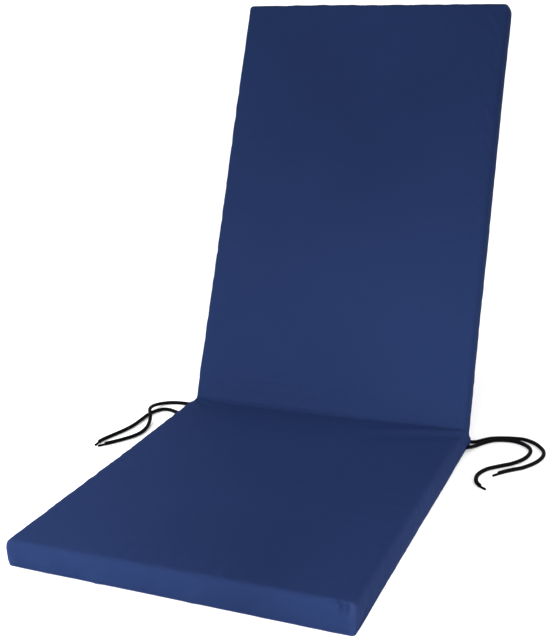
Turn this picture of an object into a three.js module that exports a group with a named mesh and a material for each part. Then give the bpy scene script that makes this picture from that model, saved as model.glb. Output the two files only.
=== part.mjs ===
// High back chair cushion: one long foam filled pad in a plain navy cover, folded across into a seat
// that lies flat and a back that leans away from it, with two cord ties at each end of the fold.
// Millimetres, +X to the right of someone facing the cushion, +Y towards its back, +Z up.
// The origin is the middle of the seat's underside, on the surface that the seat lies on.
import * as THREE from "three";
import { mergeVertices } from "three/addons/utils/BufferGeometryUtils.js";

// Driving dimensions
const SEAT_DEPTH = { left: 506, right: 510 };
const BACK_HEIGHT = { left: 681, right: 678 };
const WIDTH = { front: 455, fold: 456, top: 452 };
const THICKNESS = { frontLeft: 35, frontRight: 41, fold: 40, top: 38 };
const BACK_ANGLE = THREE.MathUtils.degToRad(68);
const TIE_DIAMETER = 6;

// How far stuffing and sewing move the faces
const EDGE_RADIUS = { top: 6, under: 3 };
const CORNER_RADIUS = { middle: 8, seams: 6 };
const CROWN = { seat: 4, backFront: 4, backRear: 3 };
const SIDE_BULGE = 2;
const SIDE_DRAW = 1;

// Powers that keep the crown flat in its middle, the bulge close to the sides and the ends, and the
// upright corners round but for their ends at the seams
const CROWN_POWER = 4;
const SIDE_POWER = 8;
const END_POWER = 16;
const CORNER_POWER = 0.6;

// The fold draws the sides in. From its right end a ridge and a hollow fan out over the seat: each runs
// between two places on the straight pad, across and along, strongest at the first
const FOLD_DRAW = { left: 2, right: 0.5, reach: 16 };
const FOLD_CREASES = [
  { from: [212, -10], to: [50, -68], rise: 2.6, reach: 9 },
  { from: [214, -28], to: [70, -94], rise: -2.4, reach: 11 },
];
const CREASE_FADE = 0.3;

// The fold's radius: soft over the middle of the face, tight at both ends, and round at the rear. It
// changes between these shares of the half width
const FOLD_RADIUS = { left: 2, middle: 24, right: 4, rear: 14 };
const SOFT_FOLD = { leftEnd: -0.96, leftSoft: -0.8, rightSoft: -0.1, rightEnd: 0.75 };
const FOLD_REACH = 2;
const FOLD_BLEND = 60;
const CREASED = 110;

// How finely the pad is divided: the number of steps in each stretch, and the marks in from each edge
const STEPS = { across: 20, seat: 10, creased: 5, beforeFold: 7, fold: 8, afterFold: 4, back: 16 };
const RIM = { plan: [0, 1.3, 3, 5, 8], top: [6, 2.5, 0], under: [0, 1.2, 3] };
const TIE_SIDES = 8;
const TIE_STEP = 1.5 * TIE_DIAMETER;
const TIE_TENSION = 0.5;
const SAME_POINT = 0.001;

const FINISH = {
  cover: { color: 0x27396a, roughness: 0.85, metalness: 0 },
  tie: { color: 0x0d0d10, roughness: 0.8, metalness: 0 },
};

const { lerp, clamp, smoothstep } = THREE.MathUtils;
const mean = ({ left, right }) => (left + right) / 2;
const bell = (distance, reach) => Math.exp(-((distance / reach) ** 2));
const SEAT = mean(SEAT_DEPTH);
const BACK = mean(BACK_HEIGHT);
const HALF_WIDTH = WIDTH.fold / 2;
const PAD = THICKNESS.fold;
const FOLD_Y = SEAT / 2;
const RIM_WIDTH = CORNER_RADIUS.middle;

// Marks from low to high, without the first, so that stretches can follow each other.
function stretch(low, high, steps) {
  return Array.from({ length: steps }, (_, i) => lerp(low, high, (i + 1) / steps));
}

// Marks from one side of the pad to the other, close together round both edges.
function marks(low, high, between) {
  const fromLow = RIM.plan.map((inset) => low + inset);
  const fromHigh = RIM.plan.map((inset) => high - inset).reverse();
  return [...fromLow, ...between, ...fromHigh.slice(1)];
}

const ACROSS = marks(
  -HALF_WIDTH,
  HALF_WIDTH,
  stretch(RIM_WIDTH - HALF_WIDTH, HALF_WIDTH - RIM_WIDTH, STEPS.across),
);
const ALONG = marks(-SEAT, BACK, [
  ...stretch(RIM_WIDTH - SEAT, -CREASED, STEPS.seat),
  ...stretch(-CREASED, -FOLD_BLEND, STEPS.creased),
  ...stretch(-FOLD_BLEND, -FOLD_REACH, STEPS.beforeFold),
  ...stretch(-FOLD_REACH, FOLD_REACH, STEPS.fold),
  ...stretch(FOLD_REACH, FOLD_BLEND, STEPS.afterFold),
  ...stretch(FOLD_BLEND, BACK - RIM_WIDTH, STEPS.back),
]);
const THROUGH = [...RIM.under, PAD / 2, ...RIM.top.map((inset) => PAD - inset)];

// A point of the sharp edged block, moved onto the block with round corners in plan and round edges.
function roundEdges({ x, y, z }) {
  const swell = Math.sin((Math.PI * z) / PAD) ** CORNER_POWER;
  const corner = lerp(CORNER_RADIUS.seams, CORNER_RADIUS.middle, swell);
  const core = new THREE.Vector2(
    clamp(x, corner - HALF_WIDTH, HALF_WIDTH - corner),
    clamp(y, corner - SEAT, BACK - corner),
  );
  const out = new THREE.Vector2(x, y).sub(core);
  const inset = corner - Math.max(Math.abs(out.x), Math.abs(out.y));
  const radius = z < PAD / 2 ? EDGE_RADIUS.under : EDGE_RADIUS.top;
  const hub = new THREE.Vector2(Math.max(inset, radius), clamp(z, radius, PAD - radius));
  const rim = new THREE.Vector2(inset, z).sub(hub).setLength(radius).add(hub);
  const plan = out.setLength(corner - rim.x).add(core);
  return new THREE.Vector3(plan.x, plan.y, rim.y);
}

// How far the creases by the fold lift the face above a place on the straight pad.
function creasing({ x, y }) {
  return FOLD_CREASES.reduce((sum, { from, to, rise, reach }) => {
    const start = new THREE.Vector2(...from);
    const line = new THREE.Vector2(...to).sub(start);
    const place = new THREE.Vector2(x, y).sub(start);
    const share = clamp(place.dot(line) / line.lengthSq(), 0, 1);
    const distance = place.addScaledVector(line, -share).length();
    return sum + rise * bell(distance, reach) * (1 - smoothstep(share, CREASE_FADE, 1));
  }, 0);
}

// The stuffed pad laid out straight: x across, y from the fold towards the back's top, z from the
// underside or rear face towards the face one sits on.
function stuff(point) {
  const onSeat = point.y < 0;
  const u = point.x / HALF_WIDTH;
  const share = onSeat ? -point.y / SEAT : point.y / BACK;
  const fromMiddle = 2 * share - 1;
  const lift = point.z / PAD;
  const right = (u + 1) / 2;

  const arch = (1 - u ** CROWN_POWER) * (1 - fromMiddle ** CROWN_POWER);
  const front = lerp(THICKNESS.frontLeft, THICKNESS.frontRight, right);
  const thickness = lerp(THICKNESS.fold, onSeat ? front : THICKNESS.top, share);
  const crownAbove = lift * arch * (onSeat ? CROWN.seat : CROWN.backFront);
  const crownBelow = (1 - lift) * arch * (onSeat ? 0 : CROWN.backRear);
  const creased = lift * creasing(point);

  const half = lerp(WIDTH.fold, onSeat ? WIDTH.front : WIDTH.top, share) / 2;
  const drawnByFold = lerp(FOLD_DRAW.left, FOLD_DRAW.right, right) * bell(point.y, FOLD_DRAW.reach);
  const drawn = SIDE_DRAW * (1 - fromMiddle ** 2) + drawnByFold;
  const bulge = SIDE_BULGE * (1 - (2 * lift - 1) ** 2);
  const length = onSeat ? lerp(SEAT_DEPTH.left, SEAT_DEPTH.right, right) / SEAT
    : lerp(BACK_HEIGHT.left, BACK_HEIGHT.right, right) / BACK;

  return {
    x: u * (half - drawn + bulge * u ** SIDE_POWER),
    y: point.y * length + Math.sign(point.y) * bulge * share ** END_POWER,
    z: lift * thickness + crownAbove - crownBelow + creased,
    depth: (1 - lift) * thickness - crownAbove + crownBelow - creased,
  };
}

// The fold's radius at a place across the pad and a depth below the face one sits on.
function foldRadius(x, depth) {
  const u = x / HALF_WIDTH;
  const hard = smoothstep(u, SOFT_FOLD.rightSoft, SOFT_FOLD.rightEnd);
  const soft = smoothstep(u, SOFT_FOLD.leftEnd, SOFT_FOLD.leftSoft);
  const face = lerp(FOLD_RADIUS.left, lerp(FOLD_RADIUS.middle, FOLD_RADIUS.right, hard), soft);
  return lerp(face, FOLD_RADIUS.rear, clamp(depth / PAD, 0, 1));
}

// The straight pad folded up: every layer runs flat, round an arc at the fold, and up the back.
function fold({ x, y, z, depth }) {
  const miter = Math.tan(BACK_ANGLE / 2);
  const radius = foldRadius(x, depth);
  const reach = radius * miter;
  const corner = depth * miter;
  const start = corner - reach;

  if (y <= -FOLD_REACH) {
    const shift = (start + FOLD_REACH) * smoothstep(y, -FOLD_BLEND, -FOLD_REACH);
    return new THREE.Vector3(x, y + shift + FOLD_Y, z);
  }
  if (y < FOLD_REACH) {
    const angle = (BACK_ANGLE * (y + FOLD_REACH)) / (2 * FOLD_REACH);
    const along = start + radius * Math.sin(angle);
    return new THREE.Vector3(x, along + FOLD_Y, z + radius * (1 - Math.cos(angle)));
  }
  const shift = (start + FOLD_REACH) * (1 - smoothstep(y, FOLD_REACH, FOLD_BLEND));
  const rise = y - shift;
  return new THREE.Vector3(
    x,
    depth * Math.sin(BACK_ANGLE) + rise * Math.cos(BACK_ANGLE) + FOLD_Y,
    PAD - depth * Math.cos(BACK_ANGLE) + rise * Math.sin(BACK_ANGLE),
  );
}

// A unit box divided by the marks, each of its points rounded, stuffed and folded in turn.
function padGeometry() {
  const counts = [ACROSS, ALONG, THROUGH].map((list) => list.length - 1);
  const block = new THREE.BoxGeometry(1, 1, 1, ...counts);
  const place = block.getAttribute("position");
  const mark = (list, value) => list[Math.round((value + 0.5) * (list.length - 1))];
  for (let i = 0; i < place.count; i += 1) {
    const point = new THREE.Vector3(
      mark(ACROSS, place.getX(i)),
      mark(ALONG, place.getY(i)),
      mark(THROUGH, place.getZ(i)),
    );
    place.setXYZ(i, ...fold(stuff(roundEdges(point))));
  }
  block.deleteAttribute("normal");
  block.deleteAttribute("uv");
  const pad = mergeVertices(block, SAME_POINT);
  pad.computeVertexNormals();
  return pad;
}

// Routes of the ties, from the cover's corner at the fold to the free end, as they lie.
const TIE_ROUTES = {
  tie_right_outer: [
    [221.5, 288.6, 10], [229.5, 292.2, 6.7], [237, 300, 4.5], [245, 313, 3.2], [255, 323, 3.2],
    [270, 330.3, 3.2], [288, 335, 3.2], [306, 336, 3.2], [322, 327.5, 3.2], [334.5, 313, 3.2],
    [342, 297, 3.2], [343, 277, 3.2], [336, 254, 3.2], [322.5, 232, 3.2], [307.5, 218, 3.2],
    [296, 206, 3.2], [285, 191.5, 3.2],
  ],
  tie_right_inner: [
    [231.7, 270, 7], [234.9, 276.3, 5.6], [238.6, 285.5, 4], [242.8, 295, 3.2], [250, 306, 3.2],
    [261.5, 318, 3.2], [277, 324.4, 3.2], [293.5, 324, 3.2], [309, 316.5, 3.2], [320, 303, 3.2],
    [322.7, 284, 3.2], [317.5, 262, 3.2], [305, 241.5, 3.2], [288.5, 225.5, 3.2], [273, 209, 3.2],
    [264.5, 187, 3.2], [266.5, 165, 3.2], [275, 151.5, 3.2], [285, 144.5, 3.2],
  ],
  tie_left_upper: [
    [-221.5, 288.6, 10], [-230, 292.3, 6.9], [-240, 297.3, 4.5], [-252, 302, 3.2], [-265, 304.7, 3.2],
    [-279, 305, 3.2], [-294, 303.5, 3.2], [-307.5, 297, 3.4], [-316, 285, 4.6], [-317.5, 266, 7.6],
    [-312.5, 247.5, 9.9], [-303.5, 232.5, 9.9], [-295.5, 219, 7], [-290, 205, 4], [-285, 188, 3.2],
    [-283, 170, 3.2], [-286, 153, 3.2], [-294, 136.5, 3.2], [-306, 118, 3.2], [-320.5, 99, 3.2],
  ],
  tie_left_lower: [
    [-229.4, 268, 7], [-236.3, 264.5, 5.2], [-246, 261.8, 3.7], [-257, 261, 3.2], [-267, 262.5, 3.2],
    [-277, 266.5, 3.2], [-287.5, 270.2, 3.2], [-298, 269, 3.2], [-305.5, 261, 3.2], [-309.5, 249, 3.2],
    [-311.2, 235, 3.2], [-310.7, 216, 3.2], [-310.2, 196, 3.2], [-312, 176, 3.2], [-316.5, 156, 3.2],
    [-322, 138, 3.2], [-326.5, 119, 3.2], [-326.5, 100, 3.2],
  ],
};

// A round cord along a route, cut square at both ends.
function tieGeometry(points) {
  const route = new THREE.CatmullRomCurve3(
    points.map((point) => new THREE.Vector3(...point)),
    false,
    "catmullrom",
    TIE_TENSION,
  );
  const corners = Array.from({ length: TIE_SIDES }, (_, i) => {
    const angle = (2 * Math.PI * i) / TIE_SIDES;
    return new THREE.Vector2(Math.cos(angle), Math.sin(angle)).multiplyScalar(TIE_DIAMETER / 2);
  });
  return new THREE.ExtrudeGeometry(new THREE.Shape(corners), {
    extrudePath: route,
    steps: Math.round(route.getLength() / TIE_STEP),
    bevelEnabled: false,
  });
}

function piece(name, geometry, finish) {
  const mesh = new THREE.Mesh(geometry, new THREE.MeshStandardMaterial(finish));
  mesh.name = name;
  return mesh;
}

const cushion = new THREE.Group();
cushion.add(piece("pad", padGeometry(), FINISH.cover));
for (const [name, points] of Object.entries(TIE_ROUTES)) {
  cushion.add(piece(name, tieGeometry(points), FINISH.tie));
}

export default cushion;
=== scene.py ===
"""High back chair cushion: one long foam pad in a navy woven cover, folded into a seat and a back,
with two black braided ties at each end of the fold. Metres, in the same frame as the part."""
import math
import bpy
import numpy as np
from mathutils import Matrix, Vector, noise


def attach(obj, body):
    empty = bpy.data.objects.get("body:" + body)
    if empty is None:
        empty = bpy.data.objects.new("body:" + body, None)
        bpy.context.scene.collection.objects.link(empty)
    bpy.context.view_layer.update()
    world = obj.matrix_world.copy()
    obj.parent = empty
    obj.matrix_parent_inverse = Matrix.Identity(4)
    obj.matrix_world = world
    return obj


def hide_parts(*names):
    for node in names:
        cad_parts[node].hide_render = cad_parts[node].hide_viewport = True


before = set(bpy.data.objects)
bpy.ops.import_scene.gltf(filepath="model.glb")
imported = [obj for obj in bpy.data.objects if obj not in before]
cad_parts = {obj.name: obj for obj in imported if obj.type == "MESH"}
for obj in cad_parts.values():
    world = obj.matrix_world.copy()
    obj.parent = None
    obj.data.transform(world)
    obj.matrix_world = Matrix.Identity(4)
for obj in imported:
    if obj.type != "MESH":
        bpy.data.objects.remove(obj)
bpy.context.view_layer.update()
scene = bpy.context.scene
scene.view_settings.view_transform = "Standard"

# Camera, worked out from the corners and edges of the cushion in a 546 by 640 picture
AZIMUTH = math.radians(20.332)
ELEVATION = math.radians(14.282)
ROLL = math.radians(-0.598)
DISTANCE = 1.4894
TARGET = Vector((0.0528, 0.154, 0.2883))
LENS_MM = 58.678
SHIFT = (-0.0917, -0.0643)

# Driving dimensions of the pad, as in the part
SEAT_DEPTH = (0.506, 0.510)
BACK_HEIGHT = (0.681, 0.678)
WIDTH = {"front": 0.455, "fold": 0.456, "top": 0.452}
THICKNESS = {"front": (0.035, 0.041), "fold": 0.040, "top": 0.038}
BACK_ANGLE = math.radians(68)
EDGE_RADIUS = {"top": 0.006, "under": 0.003}
CORNER_RADIUS = {"middle": 0.008, "seams": 0.006}
CORNER_POWER = 0.6
CROWN = {"seat": 0.004, "front": 0.004, "rear": 0.003}
SIDE_BULGE = 0.002
SIDE_DRAW = 0.001
FOLD_DRAW = {"left": 0.002, "right": 0.0005, "reach": 0.016}
FOLD_RADIUS = {"left": 0.002, "middle": 0.024, "right": 0.004, "rear": 0.014}
# The fold softens and tightens again between these shares of the half width
SOFT_FOLD = {"left": (-0.96, -0.8), "right": (-0.1, 0.75)}
FOLD_REACH = 0.002
FOLD_BLEND = 0.060
CROWN_POWER = 4
SIDE_POWER = 8
END_POWER = 16

SEAT = sum(SEAT_DEPTH) / 2
BACK = sum(BACK_HEIGHT) / 2
HALF_WIDTH = WIDTH["fold"] / 2
PAD = THICKNESS["fold"]
FOLD_Y = SEAT / 2

TIE_DIAMETER = 0.006
TINY = 1e-9  # keeps a length from being 0 where it divides


def bell(distance, reach):
    """1 at no distance, falling smoothly to nearly 0 at twice the reach."""
    return np.exp(-((distance / reach) ** 2))


def lerp(low, high, share):
    return low + (high - low) * share


def smoothstep(value, low, high):
    """0 up to low, 1 from high on, and a smooth rise between them."""
    share = np.clip((value - low) / (high - low), 0, 1)
    return share * share * (3 - 2 * share)


def make_camera():
    """The camera at the picture's own angle, turned a little round its line of sight."""
    back = Vector(
        (
            math.sin(AZIMUTH) * math.cos(ELEVATION),
            -math.cos(AZIMUTH) * math.cos(ELEVATION),
            math.sin(ELEVATION),
        )
    )
    level = (-back).cross(Vector((0, 0, 1))).normalized()
    upright = level.cross(-back)
    right = math.cos(ROLL) * level + math.sin(ROLL) * upright
    up = math.cos(ROLL) * upright - math.sin(ROLL) * level
    camera = bpy.data.objects.new("camera", bpy.data.cameras.new("camera"))
    scene.collection.objects.link(camera)
    camera.matrix_world = Matrix.Translation(TARGET + DISTANCE * back) @ Matrix(
        (right, up, back)
    ).transposed().to_4x4()
    camera.data.lens = LENS_MM
    camera.data.shift_x, camera.data.shift_y = SHIFT
    scene.camera = camera


# Materials
def new_material(name):
    """A material with its nodes, the call that links them, and its shader."""
    material = bpy.data.materials.new(name)
    material.use_nodes = True
    nodes = material.node_tree.nodes
    return material, nodes, material.node_tree.links.new, nodes["Principled BSDF"]


def math_node(nodes, link, operation, *values):
    """A Math node fed by numbers or by other nodes' outputs."""
    node = nodes.new("ShaderNodeMath")
    node.operation = operation
    for socket, value in zip(node.inputs, values):
        if isinstance(value, (int, float)):
            socket.default_value = value
        else:
            link(value, socket)
    return node.outputs[0]


def mix_node(nodes, link, factor, low, high):
    """A blend of two colours, or of a colour and another node's output."""
    node = nodes.new("ShaderNodeMix")
    node.data_type = "RGBA"
    link(factor, node.inputs["Factor"])
    for socket, colour in ((node.inputs["A"], low), (node.inputs["B"], high)):
        if isinstance(colour, tuple):
            socket.default_value = (*colour, 1)
        else:
            link(colour, socket)
    return node.outputs["Result"]


def noise_node(nodes, link, vector, scale, detail=2.0):
    """Soft noise, 0 to 1, at a place."""
    node = nodes.new("ShaderNodeTexNoise")
    node.inputs["Scale"].default_value = scale
    node.inputs["Detail"].default_value = detail
    link(vector, node.inputs["Vector"])
    return node.outputs["Fac"]


def attribute_node(nodes, name):
    """A number stored at the piece's own points."""
    node = nodes.new("ShaderNodeAttribute")
    node.attribute_name = name
    return node.outputs["Fac"]


BUMP_HEIGHT = 0.0001


def bump_node(nodes, link, height, strength):
    node = nodes.new("ShaderNodeBump")
    node.inputs["Strength"].default_value = strength
    node.inputs["Distance"].default_value = BUMP_HEIGHT
    link(height, node.inputs["Height"])
    return node.outputs["Normal"]


YARN = 0.0006  # from one yarn of the cover's weave to the next
SLUB = {"scale": 700, "across": 0.03, "rise": 1.2, "roughness": 0.25}
PATCHES = {"scale": 7, "detail": 4, "share": 0.4}
# How unevenly the painted highlight on rims and corners lies
UNEVEN_HIGHLIGHT = {"scale": 60, "detail": 3, "share": 0.8, "least": 0.3}
COVER = {"roughness": 0.66, "ior": 1.25, "specular": 0.03, "bump": 0.35}
SHEEN = {"weight": 0.04, "roughness": 0.45, "tint": (0.12, 0.25, 0.9, 1)}
# The first two navies are the darker and paler ends of the random tone patches and of the painted light
# and shade; the third is the painted highlight on rims and corners
NAVY_DEEP = (0.0058, 0.0113, 0.0358)
NAVY_PALE_AND_LIT = (0.0088, 0.0173, 0.0550)
NAVY_HIGHLIGHT = (0.0132, 0.0218, 0.0640)


def cover_material():
    """Navy polyester in a fine plain weave, in randomly uneven tone, with painted light and shade at
    listed places and a painted highlight along its upper rims and upright corners.
    """
    material, nodes, link, shader = new_material("navy_weave")
    flat = nodes.new("ShaderNodeUVMap")
    flat.uv_map = "cloth"
    split = nodes.new("ShaderNodeSeparateXYZ")
    link(flat.outputs["UV"], split.inputs["Vector"])
    place = nodes.new("ShaderNodeTexCoord").outputs["Object"]

    # Plain weave: yarns that pass over and under each other
    weft, warp = (
        math_node(nodes, link, "SINE", math_node(nodes, link, "MULTIPLY", way, math.pi / YARN))
        for way in (split.outputs["X"], split.outputs["Y"])
    )
    weave = math_node(nodes, link, "MULTIPLY", weft, warp)

    # Yarns that are a little thicker or thinner than the rest run as faint streaks both ways
    streaks = []
    for stretch in ((1, SLUB["across"], 1), (SLUB["across"], 1, 1)):
        along = nodes.new("ShaderNodeVectorMath")
        along.operation = "MULTIPLY"
        link(flat.outputs["UV"], along.inputs[0])
        along.inputs[1].default_value = stretch
        streaks.append(noise_node(nodes, link, along.outputs["Vector"], SLUB["scale"]))
    slub = math_node(nodes, link, "MULTIPLY", *streaks)

    # Painted light and shade, stored at the pad's points, shifts the random patches paler or darker
    painted_light_and_shade = attribute_node(nodes, "painted_light_and_shade")
    patches = noise_node(nodes, link, place, PATCHES["scale"], PATCHES["detail"])
    patches = math_node(nodes, link, "MULTIPLY_ADD", patches, PATCHES["share"], painted_light_and_shade)
    colour = mix_node(nodes, link, patches, NAVY_DEEP, NAVY_PALE_AND_LIT)
    # Painted highlight on the upper rims and upright corners, uneven in strength
    highlight_strength = noise_node(nodes, link, place, UNEVEN_HIGHLIGHT["scale"], UNEVEN_HIGHLIGHT["detail"])
    highlight_strength = math_node(
        nodes, link, "MULTIPLY_ADD", highlight_strength, UNEVEN_HIGHLIGHT["share"], UNEVEN_HIGHLIGHT["least"]
    )
    highlighted = math_node(nodes, link, "MULTIPLY", attribute_node(nodes, "painted_highlight"), highlight_strength)
    colour = mix_node(nodes, link, highlighted, colour, NAVY_HIGHLIGHT)
    link(colour, shader.inputs["Base Color"])

    rough = math_node(nodes, link, "MULTIPLY_ADD", slub, SLUB["roughness"], COVER["roughness"])
    link(rough, shader.inputs["Roughness"])
    shader.inputs["IOR"].default_value = COVER["ior"]
    shader.inputs["Specular IOR Level"].default_value = COVER["specular"]
    shader.inputs["Sheen Weight"].default_value = SHEEN["weight"]
    shader.inputs["Sheen Roughness"].default_value = SHEEN["roughness"]
    shader.inputs["Sheen Tint"].default_value = SHEEN["tint"]

    relief = math_node(nodes, link, "MULTIPLY_ADD", slub, SLUB["rise"], weave)
    link(bump_node(nodes, link, relief, COVER["bump"]), shader.inputs["Normal"])
    return material


# Painted shade: the gaps between the braid's strands are coloured darker than the strands; the smooth
# sealed tip takes the gap colour too
BLACK_GAP = (0.0002, 0.0002, 0.0004)
BLACK_STRAND = (0.0016, 0.0016, 0.0024)
TIE_FINISH = {"roughness": 0.62, "specular": 0.03, "fibre_scale": 4000, "bump": 0.3}


def tie_material():
    """Black braid with fine fibres, painted darker in the gaps between its strands as shade in those
    recesses.
    """
    material, nodes, link, shader = new_material("black_braid")
    colour = mix_node(nodes, link, attribute_node(nodes, "strand"), BLACK_GAP, BLACK_STRAND)
    link(colour, shader.inputs["Base Color"])
    shader.inputs["Roughness"].default_value = TIE_FINISH["roughness"]
    shader.inputs["Specular IOR Level"].default_value = TIE_FINISH["specular"]
    place = nodes.new("ShaderNodeTexCoord").outputs["Object"]
    fibres = noise_node(nodes, link, place, TIE_FINISH["fibre_scale"])
    link(bump_node(nodes, link, fibres, TIE_FINISH["bump"]), shader.inputs["Normal"])
    return material


# Pieces
def new_piece(name, points, faces, material):
    """A smooth shaded mesh object; faces are lists of the points' numbers."""
    mesh = bpy.data.meshes.new(name)
    mesh.from_pydata(points.tolist(), [], faces)
    mesh.polygons.foreach_set("use_smooth", np.full(len(mesh.polygons), True))
    if material:
        mesh.materials.append(material)
    mesh.update()
    piece = bpy.data.objects.new(name, mesh)
    scene.collection.objects.link(piece)
    return piece


def store(piece, name, values):
    """Keeps a number for each of the piece's points, for its material."""
    attribute = piece.data.attributes.new(name, "FLOAT", "POINT")
    attribute.data.foreach_set("value", np.asarray(values, np.float32))


# Ties. The routes are those of the part's cords, from the cover to the free end
TIE_ROUTES = {
    "tie_right_outer": [
        (0.2215, 0.2886, 0.01), (0.2295, 0.2922, 0.0067), (0.237, 0.3, 0.0045), (0.245, 0.313, 0.0032),
        (0.255, 0.323, 0.0032), (0.27, 0.3303, 0.0032), (0.288, 0.335, 0.0032), (0.306, 0.336, 0.0032),
        (0.322, 0.3275, 0.0032), (0.3345, 0.313, 0.0032), (0.342, 0.297, 0.0032), (0.343, 0.277, 0.0032),
        (0.336, 0.254, 0.0032), (0.3225, 0.232, 0.0032), (0.3075, 0.218, 0.0032), (0.296, 0.206, 0.0032),
        (0.285, 0.1915, 0.0032),
    ],
    "tie_right_inner": [
        (0.2317, 0.27, 0.007), (0.2349, 0.2763, 0.0056), (0.2386, 0.2855, 0.004), (0.2428, 0.295, 0.0032),
        (0.25, 0.306, 0.0032), (0.2615, 0.318, 0.0032), (0.277, 0.3244, 0.0032), (0.2935, 0.324, 0.0032),
        (0.309, 0.3165, 0.0032), (0.32, 0.303, 0.0032), (0.3227, 0.284, 0.0032), (0.3175, 0.262, 0.0032),
        (0.305, 0.2415, 0.0032), (0.2885, 0.2255, 0.0032), (0.273, 0.209, 0.0032),
        (0.2645, 0.187, 0.0032), (0.2665, 0.165, 0.0032), (0.275, 0.1515, 0.0032),
        (0.285, 0.1445, 0.0032),
    ],
    "tie_left_upper": [
        (-0.2215, 0.2886, 0.01), (-0.23, 0.2923, 0.0069), (-0.24, 0.2973, 0.0045),
        (-0.252, 0.302, 0.0032), (-0.265, 0.3047, 0.0032), (-0.279, 0.305, 0.0032),
        (-0.294, 0.3035, 0.0032), (-0.3075, 0.297, 0.0034), (-0.316, 0.285, 0.0046),
        (-0.3175, 0.266, 0.0076), (-0.3125, 0.2475, 0.0099), (-0.3035, 0.2325, 0.0099),
        (-0.2955, 0.219, 0.007), (-0.29, 0.205, 0.004), (-0.285, 0.188, 0.0032), (-0.283, 0.17, 0.0032),
        (-0.286, 0.153, 0.0032), (-0.294, 0.1365, 0.0032), (-0.306, 0.118, 0.0032),
        (-0.3205, 0.099, 0.0032),
    ],
    "tie_left_lower": [
        (-0.2294, 0.268, 0.007), (-0.2363, 0.2645, 0.0052), (-0.246, 0.2618, 0.0037),
        (-0.257, 0.261, 0.0032), (-0.267, 0.2625, 0.0032), (-0.277, 0.2665, 0.0032),
        (-0.2875, 0.2702, 0.0032), (-0.298, 0.269, 0.0032), (-0.3055, 0.261, 0.0032),
        (-0.3095, 0.249, 0.0032), (-0.3112, 0.235, 0.0032), (-0.3107, 0.216, 0.0032),
        (-0.3102, 0.196, 0.0032), (-0.312, 0.176, 0.0032), (-0.3165, 0.156, 0.0032),
        (-0.322, 0.138, 0.0032), (-0.3265, 0.119, 0.0032), (-0.3265, 0.1, 0.0032),
    ],
}
CURVE_STEPS = 40  # points worked out between two points of a route
RING_STEP = 0.0005
RING_SIDES = 40
TIE_ROOT = 0.004  # how far a tie goes on inside the cover
BRAID = {"strands": 8, "pitch": 0.0026, "depth": 0.10, "flatness": 0.7, "dip": 0.45}
# The sealed end: its length, the neck above it, its share of the tie's radius, and its round point
TIP = {"length": 0.010, "neck": 0.003, "radius": 0.64, "closing": 0.0012, "point": 0.05}


def along_route(route):
    """Evenly spaced points on the smooth curve through a route's points, and the distances to them."""
    ends = [2 * route[0] - route[1], *route, 2 * route[-1] - route[-2]]
    t = np.linspace(0, 1, CURVE_STEPS, endpoint=False)[:, None]
    curve = []
    for a, b, c, d in zip(ends, ends[1:], ends[2:], ends[3:]):
        out, back = (c - a) / 2, (d - b) / 2
        squared, cubed = 3 * (c - b) - 2 * out - back, 2 * (b - c) + out + back
        curve.append(b + out * t + squared * t**2 + cubed * t**3)
    curve = np.concatenate([*curve, [route[-1]]])
    run = np.concatenate([[0], np.cumsum(np.linalg.norm(np.diff(curve, axis=0), axis=1))])
    even = np.linspace(0, run[-1], round(run[-1] / RING_STEP) + 1)
    return np.stack([np.interp(even, run, way) for way in curve.T], axis=1), even


def braid_height(angle, run):
    """0 in the gaps to 1 on the strands of a round braid, two sets of strands winding both ways."""
    turn = angle / (2 * np.pi) * BRAID["strands"]
    up, down = turn + run / BRAID["pitch"], turn - run / BRAID["pitch"]
    over = (np.floor(up) + np.floor(down)) % 2 == 0
    across = np.where(over, up, down) % 1
    length = np.where(over, down, up) % 1
    crest = 1 - BRAID["dip"] * (1 - np.sin(np.pi * length))
    return np.sin(np.pi * across) ** BRAID["flatness"] * crest


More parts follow.
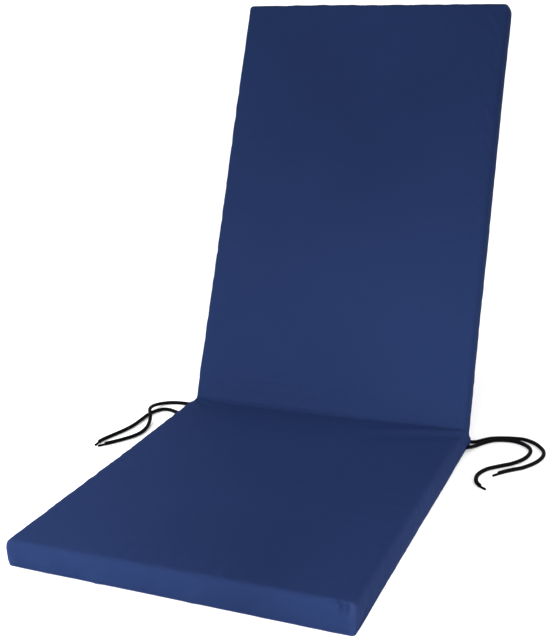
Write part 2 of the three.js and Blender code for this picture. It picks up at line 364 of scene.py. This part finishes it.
def make_tie(name, route, material):
    """A braided tie along a route: the piece, the middles of its rings, and its length."""
    route = np.array(route)
    out = (route[1] - route[0]) / np.linalg.norm(route[1] - route[0])
    line, run = along_route(np.concatenate([[route[0] - TIE_ROOT * out], route]))
    ahead = np.gradient(line, axis=0)
    ahead /= np.linalg.norm(ahead, axis=1)[:, None]
    side = np.cross(ahead, (0, 0, 1))
    side /= np.linalg.norm(side, axis=1)[:, None]
    above = np.cross(side, ahead)

    angle = np.linspace(0, 2 * np.pi, RING_SIDES, endpoint=False)
    left = run[-1] - run
    sealed = 1 - smoothstep(left, TIP["length"], TIP["length"] + TIP["neck"])
    ending = np.sqrt(1 - np.clip(1 - left / TIP["closing"], 0, 1) ** 2)
    radius = TIE_DIAMETER / 2 * (1 - (1 - TIP["radius"]) * sealed) * np.maximum(ending, TIP["point"])
    height = braid_height(angle[None, :], run[:, None]) * (1 - sealed[:, None])
    reach = radius[:, None] * (1 - BRAID["depth"] * (1 - height))
    drop = (TIE_DIAMETER / 2 - radius) * sealed  # the thin tip comes down to the surface
    middle = line - drop[:, None] * (0, 0, 1)
    rings = (
        middle[:, None]
        + reach[..., None] * np.cos(angle)[None, :, None] * side[:, None]
        + reach[..., None] * np.sin(angle)[None, :, None] * above[:, None]
    )
    points = np.concatenate([rings.reshape(-1, 3), middle[:1], middle[-1:]])
    count = len(line)
    start = np.arange(count - 1)[:, None] * RING_SIDES
    here = np.arange(RING_SIDES)
    after = (here + 1) % RING_SIDES
    ahead_here, ahead_after = start + RING_SIDES + here, start + RING_SIDES + after
    quads = np.stack([ahead_here, ahead_after, start + after, start + here], axis=-1)
    root, tip = len(points) - 2, len(points) - 1
    last = (count - 1) * RING_SIDES
    root_cap = np.stack([np.full(RING_SIDES, root), here, after], axis=1)
    tip_cap = np.stack([np.full(RING_SIDES, tip), last + after, last + here], axis=1)
    faces = [*quads.reshape(-1, 4).tolist(), *root_cap.tolist(), *tip_cap.tolist()]
    piece = new_piece(name, points, faces, material)
    store(piece, "strand", [*height.ravel(), 0.5, 0.5])
    return piece, line, run[-1]


make_camera()
braid = tie_material()
for node, route in TIE_ROUTES.items():
    tie, line, length = make_tie("braided_" + node, route, braid)
    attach(tie, "root")
    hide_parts(node)


# The pad
GATHERED = 0.022  # how far in from the corners the cover is gathered
NEAR_EDGE = 0.045
SEAM = {"height": 0.0040, "zone": 0.006, "pull_reach": 0.004, "shrink": 0.02, "ease": 0.004}
FINE = {"step": 0.005, "near_step": 0.003, "rim_step": 0.0012, "fold_steps": 14}
COARSE = {"step": 0.0075, "near_step": 0.0075, "rim_step": 0.003, "fold_steps": 8}
ROUNDING = 1e-6


def marks(*stretches):
    """Marks one after another: each stretch is (from, to, largest step)."""
    found = []
    for low, high, step in stretches:
        found.extend(np.linspace(low, high, math.ceil((high - low) / step - ROUNDING) + 1)[:-1])
    return np.array([*found, stretches[-1][1]])


def pad_marks(step, near_step, rim_step, fold_steps):
    """The marks across, along and through the pad, closer together near its edges and at the fold."""
    rim, near, gathered = CORNER_RADIUS["middle"], NEAR_EDGE, GATHERED
    across = marks(
        (-HALF_WIDTH, gathered - HALF_WIDTH, rim_step),
        (gathered - HALF_WIDTH, near - HALF_WIDTH, near_step),
        (near - HALF_WIDTH, HALF_WIDTH - near, step),
        (HALF_WIDTH - near, HALF_WIDTH - gathered, near_step),
        (HALF_WIDTH - gathered, HALF_WIDTH, rim_step),
    )
    along = marks(
        (-SEAT, gathered - SEAT, rim_step),
        (gathered - SEAT, near - SEAT, near_step),
        (near - SEAT, -FOLD_BLEND, step),
        (-FOLD_BLEND, -FOLD_REACH, near_step),
        (-FOLD_REACH, FOLD_REACH, 2 * FOLD_REACH / fold_steps),
        (FOLD_REACH, FOLD_BLEND, near_step),
        (FOLD_BLEND, BACK - near, step),
        (BACK - near, BACK - rim, near_step),
        (BACK - rim, BACK, rim_step),
    )
    through = marks(
        (0, SEAM["zone"], rim_step / 2),
        (SEAM["zone"], PAD - EDGE_RADIUS["top"], near_step),
        (PAD - EDGE_RADIUS["top"], PAD, rim_step),
    )
    return across, along, through


def block(ways):
    """The surface of a block divided at the marks: its points, and a grid of their numbers."""
    shape = [len(way) for way in ways]
    index = np.indices(shape)
    shell = np.zeros(shape, bool)
    for axis in range(3):
        shell |= (index[axis] == 0) | (index[axis] == shape[axis] - 1)
    number = np.full(shape, -1)
    number[shell] = np.arange(shell.sum())
    return np.stack([way[i[shell]] for way, i in zip(ways, index)], axis=1), number


def block_sides(number):
    """The faces of the block's six sides: (axis, end, quads) for each."""
    for axis in range(3):
        for end in (0, -1):
            side = np.take(number, end, axis=axis)
            quads = np.stack([side[:-1, :-1], side[1:, :-1], side[1:, 1:], side[:-1, 1:]], axis=-1)
            quads = quads.reshape(-1, 4)
            yield axis, end, quads[:, ::-1] if (end == 0) != (axis == 1) else quads


def cloth_places(points, surface, number):
    """Where each face's corners lie on the flat cloth, with lengths measured along the finished pad."""
    places = []
    for axis, end, quads in block_sides(number):
        flat = points[quads][..., [way for way in range(3) if way != axis]]
        if axis != 1:
            middle = number.shape[2 - axis] // 2
            row = number[middle, :, end] if axis == 2 else number[end, :, middle]
            steps = np.linalg.norm(np.diff(surface[row], axis=0), axis=1)
            run = np.concatenate([[0], np.cumsum(steps)])
            way = 1 if axis == 2 else 0
            flat[..., way] = np.interp(flat[..., way], points[row, 1], run)
        places.append(flat)
    return np.concatenate(places).reshape(-1, 2)


def round_edges(points):
    """Points of the sharp edged block, moved onto the block with round corners and edges."""
    plan, z = points[:, :2], points[:, 2]
    swell = np.sin(np.pi * np.clip(z / PAD, 0, 1)) ** CORNER_POWER
    corner = lerp(CORNER_RADIUS["seams"], CORNER_RADIUS["middle"], swell)[:, None]
    core = np.clip(plan, corner - (HALF_WIDTH, SEAT), (HALF_WIDTH, BACK) - corner)
    out = plan - core
    inset = corner[:, 0] - np.abs(out).max(axis=1)
    radius = np.where(z < PAD / 2, EDGE_RADIUS["under"], EDGE_RADIUS["top"])
    hub = np.stack([np.maximum(inset, radius), np.clip(z, radius, PAD - radius)], axis=1)
    rim = np.stack([inset, z], axis=1) - hub
    rim *= (radius / np.maximum(np.linalg.norm(rim, axis=1), TINY))[:, None]
    rim += hub
    reach = np.maximum(np.linalg.norm(out, axis=1), TINY)
    outward = out / reach[:, None] * (corner - rim[:, :1]) * (reach > TINY)[:, None]
    return np.concatenate([core + outward, rim[:, 1:]], axis=1)


def stuff(points):
    """The stuffed pad laid out straight, and how deep each point lies below the face one sits on."""
    x, y, z = points.T
    on_seat = y < 0
    u = x / HALF_WIDTH
    share = np.where(on_seat, -y / SEAT, y / BACK)
    from_middle = 2 * share - 1
    lift = z / PAD
    right = (u + 1) / 2

    arch = (1 - u**CROWN_POWER) * (1 - from_middle**CROWN_POWER)
    end = np.where(on_seat, lerp(*THICKNESS["front"], right), THICKNESS["top"])
    thickness = lerp(THICKNESS["fold"], end, share)
    above = lift * arch * np.where(on_seat, CROWN["seat"], CROWN["front"])
    below = (1 - lift) * arch * np.where(on_seat, 0, CROWN["rear"])

    half = lerp(WIDTH["fold"], np.where(on_seat, WIDTH["front"], WIDTH["top"]), share) / 2
    drawn_by_fold = lerp(FOLD_DRAW["left"], FOLD_DRAW["right"], right) * bell(y, FOLD_DRAW["reach"])
    drawn = SIDE_DRAW * (1 - from_middle**2) + drawn_by_fold
    bulge = SIDE_BULGE * (1 - (2 * lift - 1) ** 2)
    length = np.where(on_seat, lerp(*SEAT_DEPTH, right) / SEAT, lerp(*BACK_HEIGHT, right) / BACK)
    straight = np.stack(
        [
            u * (half - drawn + bulge * u**SIDE_POWER),
            y * length + np.sign(y) * bulge * share**END_POWER,
            lift * thickness + above - below,
        ],
        axis=1,
    )
    return straight, (1 - lift) * thickness - above + below


def fold(points, depth):
    """The straight pad folded up: every layer runs flat, round an arc at the fold, and up the back."""
    x, y, z = points.T
    miter = math.tan(BACK_ANGLE / 2)
    u = np.clip(x / HALF_WIDTH, -1, 1)
    hard, soft = smoothstep(u, *SOFT_FOLD["right"]), smoothstep(u, *SOFT_FOLD["left"])
    face = lerp(FOLD_RADIUS["left"], lerp(FOLD_RADIUS["middle"], FOLD_RADIUS["right"], hard), soft)
    radius = lerp(face, FOLD_RADIUS["rear"], np.clip(depth / PAD, 0, 1))
    start = (depth - radius) * miter
    angle = BACK_ANGLE * np.clip((y + FOLD_REACH) / (2 * FOLD_REACH), 0, 1)
    run = y + (start + FOLD_REACH) * smoothstep(y, -FOLD_BLEND, -FOLD_REACH)
    rise = y - (start + FOLD_REACH) * (1 - smoothstep(y, FOLD_REACH, FOLD_BLEND))
    on_seat, on_back = y <= -FOLD_REACH, y >= FOLD_REACH
    out = np.where(on_seat, run, start + radius * np.sin(angle))
    out = np.where(on_back, depth * math.sin(BACK_ANGLE) + rise * math.cos(BACK_ANGLE), out)
    up = np.where(on_seat, z, z + radius * (1 - np.cos(angle)))
    up = np.where(on_back, PAD - depth * math.cos(BACK_ANGLE) + rise * math.sin(BACK_ANGLE), up)
    return np.stack([x, out + FOLD_Y, up], axis=1)


def pad_surface(points):
    """The folded pad's place for each point of the sharp edged block."""
    return fold(*stuff(round_edges(points)))


# The cover settles on its filling: it swells a little under pressure while the seams draw it in
SIM = {"frames": 20, "pressure": 4.0, "cap": 0.0013, "held": 0.25, "least_pull": 0.02}
STAYS_DOWN = 0.002  # below this height the settling moves a point less and less up or down


def edge_distance(points):
    """How far points of the block lie inside its outline, seen from above."""
    x, y, _ = points.T
    return np.minimum(HALF_WIDTH - np.abs(x), np.minimum(y + SEAT, BACK - y))


def corner_distance(points):
    """How far points of the block lie from its nearest upright corner edge, seen from above."""
    x, y, _ = points.T
    return np.hypot(HALF_WIDTH - np.abs(x), np.minimum(y + SEAT, BACK - y))


def seam_pull(points):
    """1 on the seams and 0 away from them: round the lower edge, and up the four corners."""
    lower = np.hypot(points[:, 2] - SEAM["height"], edge_distance(points))
    upright = bell(corner_distance(points), 2 * SEAM["pull_reach"])
    return np.maximum(bell(lower, SEAM["pull_reach"]), upright)


def settle():
    """Cloth simulation on a coarser copy of the cover: its marks, and how far each point moves."""
    ways = pad_marks(**COARSE)
    points, number = block(ways)
    start = pad_surface(points)
    faces = np.concatenate([quads for *_, quads in block_sides(number)])
    cover = new_piece("settling", start, faces.tolist(), None)
    held = cover.vertex_groups.new(name="held")
    drawn = cover.vertex_groups.new(name="drawn")
    rests = (points[:, 2] < 0.5 * EDGE_RADIUS["under"]) & (points[:, 1] < -FOLD_BLEND)
    pull = seam_pull(points)
    for i, (flat, share) in enumerate(zip(rests, pull)):
        held.add([i], 1.0 if flat else SIM["held"], "REPLACE")
        if share > SIM["least_pull"]:
            drawn.add([i], float(share), "REPLACE")
    cloth = cover.modifiers.new("cloth", "CLOTH")
    cloth.point_cache.frame_start, cloth.point_cache.frame_end = 1, SIM["frames"]
    settings = cloth.settings
    settings.quality = 6
    settings.mass = 0.3
    settings.tension_stiffness = settings.compression_stiffness = 20
    settings.shear_stiffness = 8
    settings.bending_stiffness = 0.4
    settings.use_pressure = True
    settings.uniform_pressure_force = SIM["pressure"]
    settings.effector_weights.gravity = 0
    settings.vertex_group_mass = "held"
    settings.pin_stiffness = 1.0
    settings.vertex_group_shrink = "drawn"
    settings.shrink_min, settings.shrink_max = -SEAM["ease"], SEAM["shrink"]
    for frame_number in range(1, SIM["frames"] + 1):
        scene.frame_set(frame_number)
    settled = cover.evaluated_get(bpy.context.evaluated_depsgraph_get()).data
    end = np.zeros(len(points) * 3, np.float32)
    settled.vertices.foreach_get("co", end)
    scene.frame_set(1)
    move = end.reshape(-1, 3) - start
    bpy.data.objects.remove(cover)
    length = np.maximum(np.linalg.norm(move, axis=1), TINY)[:, None]
    move *= SIM["cap"] * np.tanh(length / SIM["cap"]) / length
    field = np.zeros((*number.shape, 3))
    field[number >= 0] = move
    return ways, field


def between(ways, field, points):
    """The field's values at points of the block, straight between its marks."""
    found = 0
    cells = []
    for n, way in enumerate(ways):
        spot = np.interp(points[:, n], way, np.arange(len(way)))
        low = np.minimum(spot.astype(int), len(way) - 2)
        cells.append((low, spot - low))
    for corner in range(2 ** len(ways)):
        weight, index = 1, []
        for n, (low, share) in enumerate(cells):
            high = corner >> n & 1
            weight = weight * (share if high else 1 - share)
            index.append(low + high)
        found = found + field[tuple(index)] * weight[:, None]
    return found


# Folds in the cover that the picture shows. Each runs between two places on the straight pad (across,
# along, through), strongest at the first; then come its rise outwards, its reach to each side, and how
# far its middle bows sideways
FACE, FRONT, RIGHT, LEFT = PAD, -SEAT, HALF_WIDTH, -HALF_WIDTH
CREASES = [
    # the pleat that fans out over the seat from the fold's right end
    ((0.224, -0.009, FACE), (0.050, -0.066, FACE), 0.0026, 0.009, 0.004),
    ((0.226, -0.027, FACE), (0.070, -0.092, FACE), -0.0024, 0.011, 0.006),
    ((0.226, -0.046, FACE), (0.120, -0.104, FACE), 0.0008, 0.009, 0.003),
    # short slack folds at the fold's left end
    ((-0.226, -0.012, FACE), (-0.150, -0.030, FACE), -0.0012, 0.007, 0),
    ((-0.226, -0.024, FACE), (-0.170, -0.052, FACE), 0.0010, 0.006, 0),
    # faint creases near the seat's right edge
    ((0.222, -0.262, FACE), (0.130, -0.272, FACE), -0.0006, 0.008, 0.004),
    ((0.222, -0.290, FACE), (0.110, -0.304, FACE), -0.0005, 0.008, -0.004),
    ((0.222, -0.322, FACE), (0.150, -0.330, FACE), 0.0005, 0.008, 0.003),
    # gathers at the top of the front right corner
    ((0.2200, FRONT, 0.039), (0.2190, FRONT, 0.019), -0.0026, 0.0018, 0),
    ((0.2165, FRONT, 0.038), (0.2155, FRONT, 0.024), 0.0015, 0.0018, 0),
    ((0.2130, FRONT, 0.039), (0.2115, FRONT, 0.021), -0.0024, 0.0019, 0),
    ((0.2080, FRONT, 0.038), (0.2060, FRONT, 0.022), 0.0016, 0.0023, 0),
    ((RIGHT, -0.490, 0.036), (RIGHT, -0.484, 0.018), -0.0008, 0.0024, 0),
    ((RIGHT, -0.474, 0.008), (RIGHT, -0.470, 0.026), -0.0008, 0.0028, 0),
    # gathers at the front left corner
    ((-0.2185, FRONT, 0.033), (-0.2165, FRONT, 0.016), -0.0009, 0.0022, 0),
    ((-0.2110, FRONT, 0.034), (-0.2070, FRONT, 0.018), -0.0007, 0.0026, 0),
    # slanting slack folds on the front
    ((-0.170, FRONT, 0.006), (-0.140, FRONT, 0.034), 0.0018, 0.007, 0.003),
    ((-0.128, FRONT, 0.005), (-0.098, FRONT, 0.030), -0.0018, 0.006, 0),
    ((-0.098, FRONT, 0.005), (-0.070, FRONT, 0.032), 0.0020, 0.007, 0.002),
    ((-0.030, FRONT, 0.006), (0.000, FRONT, 0.030), -0.0014, 0.007, 0),
    ((0.030, FRONT, 0.007), (0.062, FRONT, 0.033), 0.0016, 0.008, 0.003),
    ((0.092, FRONT, 0.006), (0.128, FRONT, 0.030), -0.0016, 0.007, 0),
    ((0.150, FRONT, 0.030), (0.182, FRONT, 0.010), 0.0011, 0.006, 0),
    # the ear of cloth at the rear of the fold's right end, and a smaller one at its left end
    ((RIGHT, 0.0005, 0.005), (RIGHT, 0.0100, 0.007), 0.0042, 0.0018, 0),
    ((LEFT, 0.0005, 0.005), (LEFT, 0.0100, 0.007), 0.0018, 0.0024, 0),
]
CREASE_FADE = 0.3  # the share of its length after which a crease fades out

# Painted light and shade: soft places painted paler where light falls, or painted darker where shade
# falls when the share is below 0;
# each has its middle on the straight pad and how far it reaches
PALER_EVERYWHERE = 0.3
PAINTED_LIGHT_SPOTS = [
    {"at": (-0.03, 0.50, FACE), "reach": 0.17, "share": -0.26},
    {"at": (0.17, 0.10, FACE), "reach": 0.22, "share": 0.40},
    {"at": (0.00, 0.67, FACE), "reach": 0.13, "share": 0.24},
    {"at": (-0.19, 0.28, FACE), "reach": 0.12, "share": -0.12},
    {"at": (0.08, -0.09, FACE), "reach": 0.11, "share": 0.18},
    {"at": (0.07, -0.44, FACE), "reach": 0.11, "share": -0.28},
    {"at": (0.105, FRONT, 0.02), "reach": 0.05, "share": -0.18},
    {"at": (-0.110, FRONT, 0.02), "reach": 0.06, "share": 0.16},
]

# Low relief all over: the seam's groove, the puckers along it and along the upper rim, the unevenness
# of the filling, and the slack of the front, less at its rim and its seam and least on other sides
GROOVE = {"depth": 0.0007, "width": 0.0011}
PUCKER = {"rise": 0.0004, "reach": 0.010, "pitch": 0.0075, "above_seam": 0.003}
PUCKER_SPREAD = {"pitch": 0.06, "share": 0.4}
RIM_PUCKER = {"share": 0.4, "pitch": 0.013}
CORNER_REACH = 0.014
FOAM = {"rise": 0.0011, "size": 0.16}
SLACK = {"rise": 0.0028, "size": 0.030, "reach": 0.006, "other_sides": 0.10}
SLACK_AT_RIM = {"less": 0.6, "reach": 0.012}
SLACK_AT_SEAM = {"less": 0.8, "reach": 0.009}
SLANT = {"upright": 1.4, "along": 0.35}
COLLAR = {"rise": 0.0014, "reach": 0.0045}
# Painted highlight: a little along the upper rims, most at the upright corners
HIGHLIGHT_PAINT = {"at_rim": 0.15, "rim_reach": 0.005, "corner_reach": 0.007}
RELIEF_STARTS = 0.0005  # above the surface that the seat rests on

# Starts of the random draws, and how many heights one wave draws
SEEDS = {"pucker": 4, "spread": 9, "rim": 17, "foam": 3, "slack": 7}
SIDE_SHIFT = 3  # the sides take their puckers from another stretch of the wave
DRAWS = 1024
CLOUD_SHIFT = (1, 2.3, 5.1)


def crease_height(points, start, end, rise, reach, bow):
    """How far a crease moves each point of the straight pad outwards."""
    line = np.subtract(end, start)
    share = np.clip((points - start) @ line / (line @ line), 0, 1)
    sideways = np.cross(line, (0, 0, 1) if start[2] == FACE else (0, 1, 0))
    sideways *= bow / max(np.linalg.norm(sideways), TINY)
    middle = start + share[:, None] * line + (4 * share * (1 - share))[:, None] * sideways
    distance = np.linalg.norm(points - middle, axis=1)
    return rise * bell(distance, reach) * (1 - smoothstep(share, CREASE_FADE, 1))


def uneven(run, pitch, seed):
    """A smooth uneven wave, -1 to 1, with a new height drawn at every pitch."""
    heights = np.random.default_rng(seed).uniform(-1, 1, DRAWS)
    spot = run / pitch + DRAWS / 2
    low = np.floor(spot).astype(int)
    return lerp(heights[low], heights[low + 1], smoothstep(spot - low, 0, 1))


def cloud(points, size, seed):
    """Soft uneven patches, about -1 to 1, of the given size."""
    shift = Vector([seed * way for way in CLOUD_SHIFT])
    return np.array([noise.noise(Vector(p) / size + shift) for p in points])


def relief(points):
    """How far the finished cover stands out from the stuffed shape at points of the straight pad."""
    x, y, z = points.T
    edge = edge_distance(points)
    at_sides = HALF_WIDTH - np.abs(x) <= edge + ROUNDING
    run = np.where(at_sides, y, x)
    away_from_corner = 1 - bell(corner_distance(points), CORNER_REACH)

    seam = np.hypot(edge, z - SEAM["height"])
    height = -GROOVE["depth"] * bell(seam, GROOVE["width"])
    spread = uneven(run, PUCKER_SPREAD["pitch"], SEEDS["spread"])
    spread = 1 - PUCKER_SPREAD["share"] * (1 - spread)
    pucker = uneven(run + SIDE_SHIFT * at_sides, PUCKER["pitch"], SEEDS["pucker"]) * spread
    near_seam = bell(seam - PUCKER["above_seam"], PUCKER["reach"])
    height += PUCKER["rise"] * pucker * near_seam * away_from_corner
    rim = np.hypot(edge, PAD - z)
    pucker = RIM_PUCKER["share"] * uneven(run, RIM_PUCKER["pitch"], SEEDS["rim"])
    height += PUCKER["rise"] * pucker * bell(rim, PUCKER["reach"]) * away_from_corner

    height += FOAM["rise"] * cloud(points, FOAM["size"], SEEDS["foam"])
    slack = bell(edge, SLACK["reach"]) * np.where(at_sides | (y > 0), SLACK["other_sides"], 1)
    slack *= 1 - SLACK_AT_RIM["less"] * bell(rim, SLACK_AT_RIM["reach"])
    slack *= 1 - SLACK_AT_SEAM["less"] * bell(z, SLACK_AT_SEAM["reach"])
    slanting = np.stack([x, y, SLANT["upright"] * z + SLANT["along"] * run], axis=1)
    height += SLACK["rise"] * slack * cloud(slanting, SLACK["size"], SEEDS["slack"])
    for crease in CREASES:
        height += crease_height(points, *crease)
    return height


def light_and_shade_share(points):
    """How much paler the cover is painted at points of the straight pad: a share everywhere, plus painted
    light and shade at the listed places.
    """
    painted_light_and_shade = PALER_EVERYWHERE
    for place in PAINTED_LIGHT_SPOTS:
        distance = np.linalg.norm(points - place["at"], axis=1)
        painted_light_and_shade = painted_light_and_shade + place["share"] * bell(distance, place["reach"])
    return painted_light_and_shade


def make_pad(material):
    """The stuffed and folded pad with its settled cover, relief, flat cloth places, painted light and
    shade, and a painted highlight on its rims and corners.
    """
    ways = pad_marks(**FINE)
    points, number = block(ways)
    surface = pad_surface(points)
    move = between(*settle(), points)
    move[:, 2] *= smoothstep(surface[:, 2], 0, STAYS_DOWN)
    surface = surface + move
    faces = np.concatenate([quads for *_, quads in block_sides(number)])
    pad = new_piece("padded_cover", surface, faces.tolist(), material)
    outward = np.zeros(len(points) * 3, np.float32)
    pad.data.vertices.foreach_get("normal", outward)
    height = relief(points)
    for route in TIE_ROUTES.values():
        height += COLLAR["rise"] * bell(np.linalg.norm(surface - route[0], axis=1), COLLAR["reach"])
    rests = (points[:, 1] < 0) & (points[:, 2] < EDGE_RADIUS["under"])
    height *= np.where(rests, smoothstep(surface[:, 2], RELIEF_STARTS, EDGE_RADIUS["under"]), 1)
    surface = surface + height[:, None] * outward.reshape(-1, 3)
    surface[:, 2] = np.maximum(surface[:, 2], 0)
    pad.data.vertices.foreach_set("co", surface.ravel().astype(np.float32))
    pad.data.update()
    places = cloth_places(points, surface, number)
    pad.data.uv_layers.new(name="cloth").data.foreach_set("uv", places.ravel().astype(np.float32))
    # Painted highlight where the rounded rims and upright corners catch the light
    rim = np.hypot(edge_distance(points), PAD - points[:, 2])
    at_corners = bell(corner_distance(points), HIGHLIGHT_PAINT["corner_reach"])
    # Painted light and shade at the listed places, for the cover's colour
    store(pad, "painted_light_and_shade", light_and_shade_share(points))
    store(pad, "painted_highlight", HIGHLIGHT_PAINT["at_rim"] * bell(rim, HIGHLIGHT_PAINT["rim_reach"]) + at_corners)
    return pad


pad = make_pad(cover_material())
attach(pad, "root")
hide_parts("pad")


# Floor and light
FLOOR = {"radius": 40, "sides": 96, "below": 0.0002, "albedo": 0.93, "roughness": 0.9, "specular": 0.1}


def make_floor():
    """A wide pale floor just below the cushion."""
    material, *_, shader = new_material("pale_floor")
    shader.inputs["Base Color"].default_value = (*[FLOOR["albedo"]] * 3, 1)
    shader.inputs["Roughness"].default_value = FLOOR["roughness"]
    shader.inputs["Specular IOR Level"].default_value = FLOOR["specular"]
    bpy.ops.mesh.primitive_circle_add(
        vertices=FLOOR["sides"],
        radius=FLOOR["radius"],
        fill_type="NGON",
        location=(0, 0, -FLOOR["below"]),
    )
    floor = bpy.context.object
    floor.name = "floor"
    floor.data.materials.append(material)


# Soft lamps: name, place, what each is turned to, its size, and its watts
LAMPS = [
    ("front", (0, -0.95, 0.20), (0, -0.26, 0.02), (0.9, 0.15), 7.6),
    ("front_left", (-0.30, -0.62, 0.06), (-0.15, -0.26, 0.01), (0.4, 0.06), 1.3),
    ("corner", (0.42, -0.60, 0.12), (0.22, -0.25, 0.02), (0.12, 0.12), 0.8),
    ("right", (0.60, 0, 0.15), (0.18, 0.33, 0.12), (0.3, 0.15), 1.2),
    ("front_right", (0.45, -0.75, 0.45), (0.16, 0.33, 0.14), (0.3, 0.2), 5.1),
    ("left", (-0.65, -0.25, 0.35), (-0.15, -0.10, 0.04), (0.5, 0.3), 6.0),
    ("top_left", (-0.70, -0.10, 1.00), (-0.20, 0.50, 0.66), (0.4, 0.3), 2.0),
]
SKY = 1.25


def make_lamp(name, place, target, size, watts):
    """A soft rectangular lamp that the camera doesn't see."""
    lamp = bpy.data.lights.new(name, "AREA")
    lamp.shape = "RECTANGLE"
    lamp.size, lamp.size_y = size
    lamp.energy = watts
    light = bpy.data.objects.new(name, lamp)
    scene.collection.objects.link(light)
    light.location = place
    light.rotation_euler = (Vector(target) - Vector(place)).to_track_quat("-Z", "Y").to_euler()
    light.visible_camera = False


def make_sky():
    """Even white light from all sides."""
    sky = bpy.data.worlds.new("soft_studio")
    scene.world = sky
    sky.use_nodes = True
    background = sky.node_tree.nodes["Background"]
    background.inputs["Color"].default_value = (1, 1, 1, 1)
    background.inputs["Strength"].default_value = SKY


make_floor()
for lamp_row in LAMPS:
    make_lamp(*lamp_row)
make_sky()
